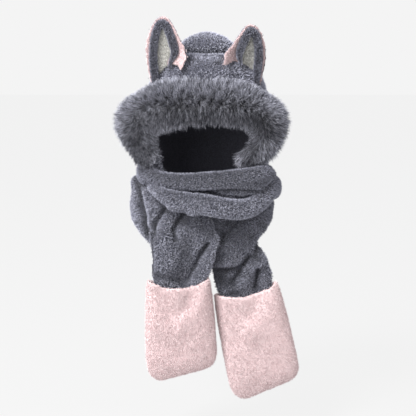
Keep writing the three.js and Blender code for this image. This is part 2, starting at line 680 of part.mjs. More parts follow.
// How far each pocket tilts, in degrees, the slope of its lower edge, the shares of its height and
// width that it has, and how far its mouth lies above the end of the left tail
const mouthInside = (pocketRows[0].deep * pocketDepth) / 2 - pocketWall;
const scarfBite = 1;
const mouthCut = 30;
const pockets = [
  { strip: leftStrip, facing: 1, tilt: 2, slant: 0.16, stretch: 0.93, breadth: 1, tuck: leftTuck },
  { strip: rightStrip, facing: -1, tilt: 12, slant: 0.14, stretch: 1.03, breadth: 1.04, tuck: rightTuck },
].map((pocket) => {
  let at = stripLastRow;
  while (at > 0 && stripCentre(pocket.strip, at).z < pocket.tuck - tailEnd) at -= 0.05;
  const hangs = stripCentre(pocket.strip, at);
  hangs.y -= mouthInside - tailThickness / 2 + scarfBite;
  return { ...pocket, hangs };
});

const strips = pockets.map(({ strip, facing }) => stripBody(strip, facing, 0));
const stripRooms = pockets.map(({ strip, facing }) => stripBody(strip, facing, 2 * clearance));
const pocketShells = pockets.map((pocket) => pocketBody(pocket, 0, 0)
  .subtract(pocketBody(pocket, -pocketWall, mouthCut)));
const pocketRooms = pockets.map((pocket) => pocketBody(pocket, fit, fit)
  .subtract(pocketBody(pocket, -pocketWall - fit, mouthCut)));
const scarfLeft = strips[0].subtract(hoodRoom).subtract(pocketRooms[0]);
const scarfRight = strips[1].subtract(hoodRoom).subtract(stripRooms[0]).subtract(pocketRooms[1]);

const group = new THREE.Group();
group.name = 'animal_hood_scarf';
group.add(piece('hood_shell', hoodShell, greyPlush));
group.add(piece('fur_brim', furBrim(stripRooms[0].add(stripRooms[1])), greyFur));
for (const ear of ears) group.add(...earPieces(ear));
group.add(piece('scarf_left', scarfLeft, greyPlush));
group.add(piece('scarf_right', scarfRight, greyPlush));
group.add(piece('pocket_left', pocketShells[0], pinkPlush));
group.add(piece('pocket_right', pocketShells[1], pinkPlush));

export default group;
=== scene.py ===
import logging
import math
from dataclasses import dataclass
from enum import Enum
from typing import Callable

import bmesh
import bpy
import numpy as np
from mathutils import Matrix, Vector
from mathutils.bvhtree import BVHTree


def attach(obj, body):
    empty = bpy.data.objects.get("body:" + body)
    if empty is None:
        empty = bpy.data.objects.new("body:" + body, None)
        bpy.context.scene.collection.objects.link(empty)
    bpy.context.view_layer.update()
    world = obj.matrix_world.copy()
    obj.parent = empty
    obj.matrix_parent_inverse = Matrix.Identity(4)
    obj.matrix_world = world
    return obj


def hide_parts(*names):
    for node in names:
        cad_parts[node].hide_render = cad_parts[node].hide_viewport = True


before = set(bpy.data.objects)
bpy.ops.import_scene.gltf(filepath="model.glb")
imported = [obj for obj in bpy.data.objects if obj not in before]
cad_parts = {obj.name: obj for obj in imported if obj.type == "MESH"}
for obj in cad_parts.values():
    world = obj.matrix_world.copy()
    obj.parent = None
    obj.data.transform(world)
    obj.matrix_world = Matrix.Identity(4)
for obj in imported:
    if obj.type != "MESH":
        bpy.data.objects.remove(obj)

LOG = logging.getLogger("hood_scarf")
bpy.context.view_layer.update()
Points = np.ndarray
Flow = Callable[[Points, Points], tuple[Points, Points]]
RIPPLE_WAVES = 7
RIPPLE_HEIGHT = 2.6
TINY = 1e-9


class Slot(Enum):
    """Finish slots of the record."""

    GREY = "grey_plush"
    LONG = "grey_long_fur"
    DARK = "dark_short_fur"
    PINK = "pink_plush"
    PALE = "pale_plush"


class Side(Enum):
    """Side of the object as the front view shows it."""

    LEFT = -1
    RIGHT = 1


def unit(vectors: Points) -> Points:
    """Scales every row to length one.

    Args:
        vectors: Rows of three numbers.

    Returns:
        The rows as directions.
    """
    return vectors / np.maximum(np.linalg.norm(vectors, axis=1, keepdims=True), TINY)


def ripple(points: Points, size: float, seed: int) -> Points:
    """Smooth random value at each point, about -1 to 1, the same on each run.

    Args:
        points: Places in metres.
        size: Width of one ripple in metres.
        seed: Which pattern of ripples.

    Returns:
        One number for each point.
    """
    rng = np.random.default_rng(seed)
    total = np.zeros(len(points))
    for _ in range(RIPPLE_WAVES):
        way = rng.normal(size=3)
        way *= (2 * math.pi / size) * rng.uniform(0.6, 1.5) / np.linalg.norm(way)
        total += np.sin(points @ way + rng.uniform(0, 2 * math.pi))
    return total / RIPPLE_HEIGHT


def bell(across: Points, level: Points, at: tuple[float, float], reach: tuple[float, float]) -> Points:
    """Soft spot of the front view.

    Args:
        across: Where the places lie from left to right.
        level: Where they lie in height.
        at: Middle of the spot.
        reach: How far it reaches both ways.

    Returns:
        From 1 in the middle to 0 far outside.
    """
    return np.exp(-(((across - at[0]) / reach[0]) ** 2) - ((level - at[1]) / reach[1]) ** 2)


@dataclass(frozen=True)
class Finish:
    """Cloth or fur finish: colours from the root of the pile to its light tips.

    Attributes:
        sheen: Strength of the soft glow at its edges.
        depth: Strength of the nap in the cloth.
        patch: Scale of the patches in the pile.
        patchy: How strongly the patches tell.
        nap: Scale of the nap in the cloth.
        sheen_light: How much lighter than the light strands the glow is.
        crease_light: Share of the root's colour that is left in a crease, as painted shade.
    """

    name: str
    root: tuple[float, float, float]
    low: tuple[float, float, float]
    high: tuple[float, float, float]
    roughness: float = 0.9
    sheen: float = 0.25
    depth: float = 0.35
    patch: float = 18.0
    patchy: float = 0.4
    nap: float = 420.0
    shine: float = 0.2
    sheen_spread: float = 0.6
    sheen_light: float = 2.2
    crease_light: float = 0.4

    def strands(self) -> bpy.types.Material:
        """Material of the pile, which reads the tone and tip attributes of its strands.

        Returns:
            The material.
        """
        material, tree, shader = self._start(f"{self.name}_pile")
        patches = self._noise(tree, self.patch, 3.0)
        spread = self._maths(tree, "MULTIPLY_ADD", patches, self.patchy, self._attribute(tree, "tone"))
        level = self._maths(tree, "SUBTRACT", spread, self.patchy / 2)
        body = self._mix(tree, level, self.low, self.high)
        colour = self._mix(tree, self._attribute(tree, "tip"), self.root, body)
        tree.links.new(colour, shader.inputs["Base Color"])
        return material

    def cloth(self) -> bpy.types.Material:
        """Material of the cloth under the pile, with a fine nap, and painted shade in its creases.

        Returns:
            The material.
        """
        material, tree, shader = self._start(f"{self.name}_cloth")
        nap = self._noise(tree, self.nap, 4.0)
        blend = self._maths(tree, "SUBTRACT", nap, 0.2)
        plain = self._mix(tree, blend, self.root, self.low)
        # Painted shade: the cloth turns to the deep colour where the crease attribute is high.
        colour = self._mix(tree, self._attribute(tree, "crease"), plain, self.deep)
        tree.links.new(colour, shader.inputs["Base Color"])
        bump = tree.nodes.new("ShaderNodeBump")
        bump.inputs["Strength"].default_value = self.depth
        bump.inputs["Distance"].default_value = 0.002
        tree.links.new(nap, bump.inputs["Height"])
        tree.links.new(bump.outputs["Normal"], shader.inputs["Normal"])
        return material

    @property
    def deep(self) -> tuple[float, float, float]:
        """Colour painted at the bottom of a crease, as painted shade."""
        return tuple(self.crease_light * part for part in self.root)

    def _start(self, name: str) -> tuple:
        """Empty node tree with its shader, with the plain numbers on the sockets."""
        material = bpy.data.materials.new(name)
        material.use_nodes = True
        tree = material.node_tree
        shader = tree.nodes["Principled BSDF"]
        shader.inputs["Roughness"].default_value = self.roughness
        shader.inputs["Specular IOR Level"].default_value = self.shine
        shader.inputs["Sheen Weight"].default_value = self.sheen
        shader.inputs["Sheen Roughness"].default_value = self.sheen_spread
        tint = [min(1.0, self.sheen_light * part) for part in self.high]
        shader.inputs["Sheen Tint"].default_value = (*tint, 1.0)
        return material, tree, shader

    @staticmethod
    def _attribute(tree: bpy.types.NodeTree, name: str) -> bpy.types.NodeSocket:
        """Number that the mesh holds under a name."""
        node = tree.nodes.new("ShaderNodeAttribute")
        node.attribute_name = name
        return node.outputs["Fac"]

    @staticmethod
    def _noise(tree: bpy.types.NodeTree, scale: float, detail: float) -> bpy.types.NodeSocket:
        """Noise on the object's own coordinates."""
        place = tree.nodes.new("ShaderNodeTexCoord")
        node = tree.nodes.new("ShaderNodeTexNoise")
        node.inputs["Scale"].default_value = scale
        node.inputs["Detail"].default_value = detail
        tree.links.new(place.outputs["Object"], node.inputs["Vector"])
        return node.outputs["Fac"]

    @staticmethod
    def _maths(tree: bpy.types.NodeTree, way: str, value: bpy.types.NodeSocket, other: float,
               third: bpy.types.NodeSocket | None = None) -> bpy.types.NodeSocket:
        """One sum on a socket: value with other, and a third socket where the sum takes one."""
        node = tree.nodes.new("ShaderNodeMath")
        node.operation = way
        tree.links.new(value, node.inputs[0])
        node.inputs[1].default_value = other
        if third is not None:
            tree.links.new(third, node.inputs[2])
        return node.outputs["Value"]

    @staticmethod
    def _mix(tree: bpy.types.NodeTree, factor: bpy.types.NodeSocket, first: tuple | bpy.types.NodeSocket,
             second: tuple | bpy.types.NodeSocket) -> bpy.types.NodeSocket:
        """Colour between two colours."""
        node = tree.nodes.new("ShaderNodeMix")
        node.data_type = "RGBA"
        node.clamp_factor = True
        tree.links.new(factor, node.inputs["Factor"])
        ends = [socket for socket in node.inputs if socket.type == "RGBA"]
        for socket, value in zip(ends, (first, second)):
            if isinstance(value, tuple):
                socket.default_value = (*value, 1.0)
            else:
                tree.links.new(value, socket)
        return next(socket for socket in node.outputs if socket.type == "RGBA")


GREY = Finish("grey_plush", (0.036, 0.037, 0.050), (0.118, 0.121, 0.160), (0.78, 0.79, 0.94))
# Darker copy of the grey plush for the hood's inside: painted shade.
SHADED_INSIDE = Finish("inside_painted_shade", (0.022, 0.022, 0.029), (0.095, 0.096, 0.124), (0.56, 0.56, 0.68), sheen=0.05)
LONG = Finish("long_fur", (0.010, 0.010, 0.014), (0.034, 0.035, 0.048), (0.86, 0.87, 1.00), sheen=0.15)
DARK = Finish("ear_fur", (0.024, 0.024, 0.033), (0.080, 0.082, 0.108), (0.60, 0.61, 0.74), sheen=0.15)
PINK = Finish("pink_plush", (0.63, 0.485, 0.49), (0.665, 0.555, 0.562), (0.83, 0.75, 0.755),
              sheen=0.08, patch=30.0)
PALE = Finish("pale_plush", (0.54, 0.53, 0.50), (0.80, 0.79, 0.76), (0.99, 0.98, 0.96), sheen=0.15)


@dataclass(frozen=True)
class Fold:
    """Crease in a soft surface along a line on the front, in metres, with painted shade along its bottom.

    Attributes:
        line: Corners of the line in the front view.
        ridge: Height of the cloth that it pushes up on one side.
        front: Only what lies ahead of this level is creased.
        dark: How dark the painted shade at its bottom is, from 0 to 1; with no depth the fold is painted
            shade alone.
        through: Whether it presses straight back, whichever way the surface faces.
        turn: How fast it fades where the surface turns away.
        bank_at: Where the ridge stands, in widths.
        bank_width: How wide the ridge is, in widths.
        bank_end: Where the ridge ends, in widths.
        dark_width: How wide the painted shade at its bottom is, in widths.
    """

    line: tuple[tuple[float, float], ...]
    depth: float
    width: float
    ridge: float = 0.0
    front: float = -0.02
    dark: float = 0.8
    through: bool = False
    turn: float = 2.5
    bank_at: float = 1.7
    bank_width: float = 1.2
    bank_end: float = 4.0
    dark_width: float = 0.75

    def facing(self, points: Points, normals: Points) -> Points:
        """Tells how far places belong to the front that the crease runs over.

        Args:
            points: The places.
            normals: Outward directions there.

        Returns:
            From 0 on the back to 1 on the front.
        """
        outer = 1.0 if self.through else np.clip(-normals[:, 1] * self.turn, 0, 1)
        return outer * (points[:, 1] < self.front)


@dataclass(frozen=True)
class Pull:
    """Soft pull on the cloth round a place of the front view, in metres.

    Attributes:
        by: How far the cloth moves there.
        reach: How far the pull is felt across and in height.
        front: Only what lies ahead of this level moves.
        fade: Depth over which the pull sets in.
    """

    at: tuple[float, float]
    by: tuple[float, float, float]
    reach: tuple[float, float]
    front: float = 0.0
    fade: float = 0.02

    def shift(self, points: Points) -> Points:
        """Tells how far each place moves.

        Args:
            points: The places.

        Returns:
            One row of three numbers for each place.
        """
        away = (points[:, [0, 2]] - np.array(self.at)) / np.array(self.reach)
        ahead = np.clip((self.front - points[:, 1]) / self.fade, 0, 1)
        share = np.exp(-(away ** 2).sum(axis=1)) * ahead
        return share[:, None] * np.array(self.by)


class Soft:
    """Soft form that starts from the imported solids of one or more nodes."""

    def __init__(self, name: str, nodes: tuple[str, ...], slot: Slot) -> None:
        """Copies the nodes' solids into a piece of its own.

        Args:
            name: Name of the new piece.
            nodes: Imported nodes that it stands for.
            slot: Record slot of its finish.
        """
        bm = bmesh.new()
        for node in nodes:
            bm.from_mesh(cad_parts[node].data)
        bmesh.ops.remove_doubles(bm, verts=bm.verts, dist=2e-5)
        mesh = bpy.data.meshes.new(name)
        bm.to_mesh(mesh)
        bm.free()
        self.name = name
        self.nodes = nodes
        self.slot = slot
        self.folds: tuple[Fold, ...] = ()
        self.obj = bpy.data.objects.new(name, mesh)
        bpy.context.scene.collection.objects.link(self.obj)

    @property
    def points(self) -> Points:
        """Places of the mesh's vertices."""
        flat = np.empty(len(self.obj.data.vertices) * 3, np.float32)
        self.obj.data.vertices.foreach_get("co", flat)
        return flat.reshape(-1, 3).astype(float)

    @property
    def normals(self) -> Points:
        """Outward directions at the mesh's vertices."""
        flat = np.empty(len(self.obj.data.vertices) * 3, np.float32)
        self.obj.data.vertices.foreach_get("normal", flat)
        return flat.reshape(-1, 3).astype(float)

    def place(self, points: Points) -> None:
        """Puts the vertices at new places.

        Args:
            points: One row for each vertex, in metres.
        """
        self.obj.data.vertices.foreach_set("co", points.astype(np.float32).ravel())
        self.obj.data.update()

    def remesh(self, size: float) -> "Soft":
        """Rebuilds the form in even faces.

        Args:
            size: Edge of a face in metres.

        Returns:
            This form.
        """
        change = self.obj.modifiers.new("even", "REMESH")
        change.mode = "VOXEL"
        change.voxel_size = size
        change.adaptivity = 0.0
        self._settle()
        return self

    def _settle(self) -> None:
        """Makes what the modifiers give the piece's own mesh, without them."""
        graph = bpy.context.evaluated_depsgraph_get()
        fresh = bpy.data.meshes.new_from_object(self.obj.evaluated_get(graph), depsgraph=graph)
        self.obj.modifiers.clear()
        old = self.obj.data
        self.obj.data = fresh
        bpy.data.meshes.remove(old)

    def relax(self, times: int, factor: float = 0.5) -> "Soft":
        """Rounds the facets off.

        Args:
            times: How often each vertex moves towards its neighbours.
            factor: Share of the way that it moves.

        Returns:
            This form.
        """
        bm = bmesh.new()
        bm.from_mesh(self.obj.data)
        for _ in range(times):
            bmesh.ops.smooth_vert(bm, verts=bm.verts, factor=factor,
                                  use_axis_x=True, use_axis_y=True, use_axis_z=True)
        bm.to_mesh(self.obj.data)
        bm.free()
        self.obj.data.update()
        return self

    def inset(self, by: float) -> "Soft":
        """Draws the whole surface in, to leave room for the pile.

        Args:
            by: How far, in metres.

        Returns:
            This form.
        """
        self.place(self.points - self.normals * by)
        return self

    def puff(self, pressure: float, cap: float, frames: int = 20) -> "Soft":
        """Swells the padding with a cloth simulation and keeps its result.

        Args:
            pressure: Push of the padding from inside.
            cap: How far a point may move, in metres.
            frames: Steps of the simulation.

        Returns:
            This form.
        """
        before = self.points
        cloth = self.obj.modifiers.new("swell", "CLOTH")
        cloth.settings.quality = 5
        cloth.settings.mass = 0.3
        cloth.settings.use_pressure = True
        cloth.settings.uniform_pressure_force = pressure
        cloth.settings.effector_weights.gravity = 0
        cloth.collision_settings.use_collision = False
        cloth.point_cache.frame_end = frames
        scene = bpy.context.scene
        for step in range(1, frames + 1):
            scene.frame_set(step)
        graph = bpy.context.evaluated_depsgraph_get()
        swollen = self.obj.evaluated_get(graph).to_mesh()
        flat = np.empty(len(swollen.vertices) * 3, np.float32)
        swollen.vertices.foreach_get("co", flat)
        self.obj.evaluated_get(graph).to_mesh_clear()
        self.obj.modifiers.clear()
        scene.frame_set(1)
        moved = flat.reshape(-1, 3) - before
        far = np.linalg.norm(moved, axis=1, keepdims=True)
        self.place(before + moved * np.minimum(1.0, cap / np.maximum(far, TINY)))
        return self

    def carve(self, folds: tuple[Fold, ...]) -> "Soft":
        """Presses creases into the front, with the cloth that they push up beside them.

        Args:
            folds: The creases.

        Returns:
            This form.
        """
        points = self.points
        normals = self.normals
        for fold in folds:
            away, side = distance_to_line(points[:, [0, 2]], np.array(fold.line))
            facing = fold.facing(points, normals)
            valley = np.exp(-((away / fold.width) ** 2)) * fold.depth
            beside = (side - fold.bank_at * fold.width) / (fold.bank_width * fold.width)
            bank = np.exp(-(beside ** 2)) * fold.ridge
            bank *= away < fold.bank_end * fold.width
            way = np.array([[0, -1.0, 0]]) if fold.through else normals
            points = points + way * ((bank - valley) * facing)[:, None]
        self.place(points)
        self.folds += folds
        return self

    def pull(self, pulls: tuple[Pull, ...]) -> "Soft":
        """Draws the cloth to where it hangs on the worn garment.

        Args:
            pulls: The pulls, one after the other.

        Returns:
            This form.
        """
        for one in pulls:
            points = self.points
            self.place(points + one.shift(points))
        return self

    def crease(self, points: Points, normals: Points) -> Points:
        """Tells how deep in a crease each place on the form lies, which sets the painted shade there.

        Args:
            points: The places.
            normals: Outward directions there.

        Returns:
            From 0 on open cloth to 1 in the bottom of a crease.
        """
        deep = np.zeros(len(points))
        for fold in self.folds:
            away, _ = distance_to_line(points[:, [0, 2]], np.array(fold.line))
            near = np.exp(-((away / (fold.dark_width * fold.width)) ** 2))
            deep = np.maximum(deep, near * fold.facing(points, normals) * fold.dark)
        return deep

    def dress(self, materials: list[bpy.types.Material], fill: float) -> None:
        """Gives the form its finish and seats it on the object.

        Args:
            materials: Materials in the order of the mesh's own indices.
            fill: How tightly it is padded, from 0 to 1; not used.
        """
        for material in materials:
            self.obj.data.materials.append(material)
        # Painted shade: how deep each vertex lies in a crease, which darkens the cloth there.
        note(self.obj.data, "crease", self.crease(self.points, self.normals))
        self.obj.data.polygons.foreach_set("use_smooth", np.ones(len(self.obj.data.polygons), bool))
        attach(self.obj, "root")
        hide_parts(*self.nodes)


def note(mesh: bpy.types.Mesh, name: str, values: Points) -> None:
    """Writes one number for each vertex under a name.

    Args:
        mesh: The mesh.
        name: Name that the finishes read.
        values: The numbers.
    """
    mesh.attributes.new(name, "FLOAT", "POINT").data.foreach_set("value", values.astype(np.float32))


def distance_to_line(points: Points, line: Points) -> tuple[Points, Points]:
    """How far points lie from a line of straight stretches.

    Args:
        points: Rows of two numbers.
        line: The line's corners, as rows of two numbers.

    Returns:
        The distance, and the distance with a sign that tells the line's left from its right.
    """
    best = np.full(len(points), 1e9)
    signed = np.full(len(points), 1e9)
    for start, end in zip(line[:-1], line[1:]):
        along = end - start
        share = np.clip(((points - start) @ along) / (along @ along), 0, 1)
        gap = points - (start + share[:, None] * along)
        away = np.linalg.norm(gap, axis=1)
        cross = along[0] * gap[:, 1] - along[1] * gap[:, 0]
        nearer = away < best
        best = np.where(nearer, away, best)
        signed = np.where(nearer, np.sign(cross) * away, signed)
    return best, signed


@dataclass(frozen=True)
class Pile:
    """Pile of a plush or a fur, as narrow tapered ribbons. Sizes in metres.

    Attributes:
        jitter: How wildly the strands point.
        uneven: How much their lengths differ.
        bends: Whether a strand has a bend on its way.
        clump: Size of the tufts.
        streak: How much the tone changes from tuft to tuft.
        speck: How much the tone changes from strand to strand.
        pale: Tone of a middling strand, from 0 dark to 1 light.
        root_depth: How deep a root sits in the cloth.
        clear_from: Height over the root from which the way out has to be clear.
        clear_share: Share of the length that has to be clear.
        own_wild: Share of the jitter that each strand has on its own.
        tuft_wild: Share of the jitter that its tuft has.
        tip_wild: How much wilder the tips are.
        crease_cut: How much shorter strands are in a crease.
        crease_dark: How much darker tips are in a crease, as painted shade.
        bend_at: Share of the length up to the bend.
        bend_tip: How light a strand is at its bend.
        bend_width: Width at the bend against the root.
        tilt: How far the flat sides differ from the way of the surface.
        twist: How far strands are turned about themselves.
        widths: Least and largest width against the stated one.
    """

    length: float
    width: float
    count: int
    jitter: float = 0.35
    uneven: float = 0.3
    bends: bool = False
    clump: float = 0.005
    streak: float = 0.17
    speck: float = 0.18
    pale: float = 0.42
    spare: float = 2.6
    seed: int = 1
    root_depth: float = 6e-4
    clear_from: float = 4e-4
    clear_share: float = 0.6
    own_wild: float = 0.55
    tuft_wild: float = 0.8
    tip_wild: float = 1.3
    crease_cut: float = 0.5
    crease_dark: float = 0.7
    bend_at: float = 0.5
    bend_tip: float = 0.55
    bend_width: float = 0.8
    tilt: float = 0.2
    twist: float = 0.7
    widths: tuple = (0.7, 1.3)

    def grow(self, name: str, soft: Soft, flow: Flow, finish: Finish, over: BVHTree | None = None,
             keep: Callable[[Points, Points], Points] | None = None,
             trim: Callable[[Points], Points] | None = None) -> bpy.types.Object:
        """Grows the strands out of a soft form.

        Args:
            name: Name of the new piece.
            soft: The form that carries them.
            flow: Gives the ways that roots and tips point from places and outward directions.
            finish: Their finish.
            over: Surfaces that cover some places, where nothing grows.
            keep: Tells the places where strands grow.
            trim: Gives the share of the length at each place.

        Returns:
            The strands as one mesh.
        """
        rng = np.random.default_rng(self.seed)
        roots, normals = self._scatter(soft, rng)
        wanted = np.ones(len(roots), bool) if keep is None else keep(roots, normals)
        if over is not None:
            for k in np.flatnonzero(wanted):
                start = Vector(roots[k] + normals[k] * self.clear_from)
                hit = over.ray_cast(start, Vector(normals[k]), self.length * self.clear_share)
                wanted[k] = hit[0] is None
        roots, normals = roots[wanted][: self.count], normals[wanted][: self.count]
        start, end = flow(roots, normals)
        tuft = np.stack([ripple(roots, self.clump, self.seed * 31 + k) for k in range(3)], axis=1)
        wild = rng.normal(size=roots.shape) * self.own_wild + tuft * self.tuft_wild
        start = unit(unit(start) + wild * self.jitter)
        end = unit(unit(end) + wild * self.jitter * self.tip_wild)
        # Strands in a crease are shorter, and their tone and tips are darkened as painted shade.
        deep = soft.crease(roots, normals)
        size = self.length * (1 + self.uneven * rng.uniform(-1, 1, len(roots)))
        size = size * (1 - self.crease_cut * deep)
        size = size if trim is None else size * trim(roots)
        streaks = self.streak * ripple(roots, self.clump * 0.8, self.seed + 5)
        tone = self.pale + self.speck * rng.normal(size=len(roots)) + streaks
        tone = np.clip(tone, 0, 1) * (1 - deep)
        obj = self._ribbons(name, (roots, normals), (start, end), size, rng)
        each = len(obj.data.vertices) // len(roots)
        heights = np.array([0.0, 0.0] + [self.bend_tip] * (2 if self.bends else 0) + [1.0])
        note(obj.data, "tip", (heights[None, :] * (1 - self.crease_dark * deep)[:, None]).ravel())
        note(obj.data, "tone", np.repeat(tone, each))
        obj.data.materials.append(finish.strands())
        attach(obj, "root")
        LOG.info("%s: %d strands, %d triangles", name, len(roots), len(obj.data.polygons))
        return obj

    def _scatter(self, soft: Soft, rng: np.random.Generator) -> tuple[Points, Points]:
        """Even random places on a form, more than are needed, with the outward direction at each."""
        mesh = soft.obj.data
        mesh.calc_loop_triangles()
        corners = np.empty(len(mesh.loop_triangles) * 3, np.int32)
        mesh.loop_triangles.foreach_get("vertices", corners)
        corners = corners.reshape(-1, 3)
        points, normals = soft.points, soft.normals
        a, b, c = (points[corners[:, k]] for k in range(3))
        area = np.linalg.norm(np.cross(b - a, c - a), axis=1)
        count = int(self.count * self.spare)
        pick = rng.choice(len(area), size=count, p=area / area.sum())
        u, v = rng.uniform(size=(2, count))
        over = u + v > 1
        u[over], v[over] = 1 - u[over], 1 - v[over]
        mix = np.stack([1 - u - v, u, v], axis=1)[:, :, None]
        chosen = corners[pick]
        return (points[chosen] * mix).sum(axis=1), unit((normals[chosen] * mix).sum(axis=1))

    def _ribbons(self, name: str, base: tuple[Points, Points], ways: tuple[Points, Points],
                 size: Points, rng: np.random.Generator) -> bpy.types.Object:
        """One mesh of narrow tapered ribbons, with a bend half way where the pile is long."""
        roots, normals = base
        start, end = ways
        count = len(roots)
        flat = unit(np.cross(start, normals + self.tilt * rng.normal(size=roots.shape)))
        twist = rng.normal(size=count)[:, None] * self.twist
        across = flat * np.cos(twist) + np.cross(start, flat) * np.sin(twist)
        across *= (self.width * 0.5 * rng.uniform(*self.widths, count))[:, None]
        low = roots - start * self.root_depth
        places = [low - across, low + across]
        faces = [(0, 1, 2)]
        top = low
        if self.bends:
            top = roots + start * (size * self.bend_at)[:, None]
            places += [top - across * self.bend_width, top + across * self.bend_width]
            faces = [(0, 1, 3), (0, 3, 2), (2, 3, 4)]
        places.append(top + end * (size * (1 - self.bend_at if self.bends else 1.0))[:, None])
        each = len(places)
        points = np.stack(places, axis=1).reshape(-1, 3)
        table = (np.array(faces)[None] + (np.arange(count) * each)[:, None, None]).reshape(-1, 3)
        mesh = bpy.data.meshes.new(name)
        mesh.vertices.add(len(points))
        mesh.vertices.foreach_set("co", points.astype(np.float32).ravel())
        mesh.loops.add(table.size)
        mesh.loops.foreach_set("vertex_index", table.astype(np.int32).ravel())
        mesh.polygons.add(len(table))
        mesh.polygons.foreach_set("loop_start", np.arange(0, table.size, 3, dtype=np.int32))
        mesh.polygons.foreach_set("use_smooth", np.ones(len(table), bool))
        mesh.update(calc_edges=True)
        obj = bpy.data.objects.new(name, mesh)
        bpy.context.scene.collection.objects.link(obj)
        return obj


def downy(lean: float) -> Flow:
    """Way of a short pile that stands out and leans down a little.

    Args:
        lean: Share of the lean against the outward direction.

    Returns:
        The flow.
    """
    def ways(places: Points, normals: Points) -> tuple[Points, Points]:
        """Ways of roots and tips."""
        way = normals + np.array([0, 0, -lean])
        return way, way
    return ways


def cover_of(*softs: Soft) -> BVHTree:
    """Search tree over the surfaces of several forms.

    Args:
        softs: The forms.

    Returns:
        The tree.
    """
    points, faces = [], []
    for soft in softs:
        first = len(points)
        points += [Vector(p) for p in soft.points]
        faces += [[first + k for k in face.vertices] for face in soft.obj.data.polygons]
    return BVHTree.FromPolygons(points, faces)


@dataclass
class Hood:
    """Padded crown and sides, with the slack rear dome, and its inside in a darker copy of the plush as
    painted shade.
    """

    face: float = 0.0055
    room: float = 0.003
    lining_reach: float = 0.02
    heart: tuple = (0.0, 0.01, -0.13)
    heart_weight: tuple = (1.0, 1.0, 0.55)

    def build(self) -> None:
        """Builds the form with its creases, darkened as painted shade."""
        self.soft = Soft("hood_plush", ("hood_shell",), Slot.GREY).remesh(self.face).relax(6)
        self.soft.inset(self.room)
        # Creases between the ears, with painted shade at their bottoms.
        self.soft.carve((
            Fold(((-0.044, 0.010), (-0.021, 0.007), (0.002, 0.006), (0.025, 0.006), (0.042, 0.008)),
                 0.007, 0.009, 0.003, 0.03, 0.7),
            Fold(((-0.044, 0.0), (-0.038, -0.007), (-0.027, -0.009)), 0.003, 0.006, 0.002, dark=0.4),
            Fold(((0.021, -0.015), (0.029, -0.007), (0.040, -0.003)), 0.003, 0.006, 0.002, dark=0.4),
        ))

    def dress(self, cover: BVHTree) -> None:
        """Gives the inside a darker copy of the plush as painted shade, with its pile near the opening, and
        grows the short pile outside.

        Args:
            cover: Surfaces that hide parts of the hood.
        """
        mesh = self.soft.obj.data
        self.soft.dress([GREY.cloth(), SHADED_INSIDE.cloth()], 0.5)
        inner = self.inside(self.soft.points, self.soft.normals)
        mesh.polygons.foreach_set("material_index", np.array(
            [int(inner[list(face.vertices)].all()) for face in mesh.polygons], np.int32))
        # The crown's pile is lighter than the same plush on the scarf: painted light on the top.
        Pile(0.0060, 0.0017, 80000, jitter=0.3, speck=0.14, streak=0.12, pale=0.84, seed=11).grow(
            "hood_pile", self.soft, downy(0.35), GREY, cover, lambda p, n: ~self.inside(p, n))
        Pile(0.0075, 0.0021, 18000, seed=12).grow(
            "hood_lining_pile", self.soft, downy(0.35), SHADED_INSIDE, cover,
            lambda p, n: self.inside(p, n) & (p[:, 1] < self.lining_reach))

    def inside(self, points: Points, normals: Points) -> Points:
        """Tells the inside of the shell from its outside.

        Args:
            points: Places.
            normals: Outward directions there.

        Returns:
            True where a place is on the inside.
        """
        return (((points - np.array(self.heart)) * normals) @ np.array(self.heart_weight)) < 0


@dataclass(frozen=True)
class Comb:
    """Way in which one end of the brim's strands is combed.

    Attributes:
        outward: Share of the outward direction.
        aside: Share away from the parting.
        less: How much less of that there is low on the cheeks.
        hang: Share of the hang.
    """

    outward: float
    aside: float
    less: float
    hang: float


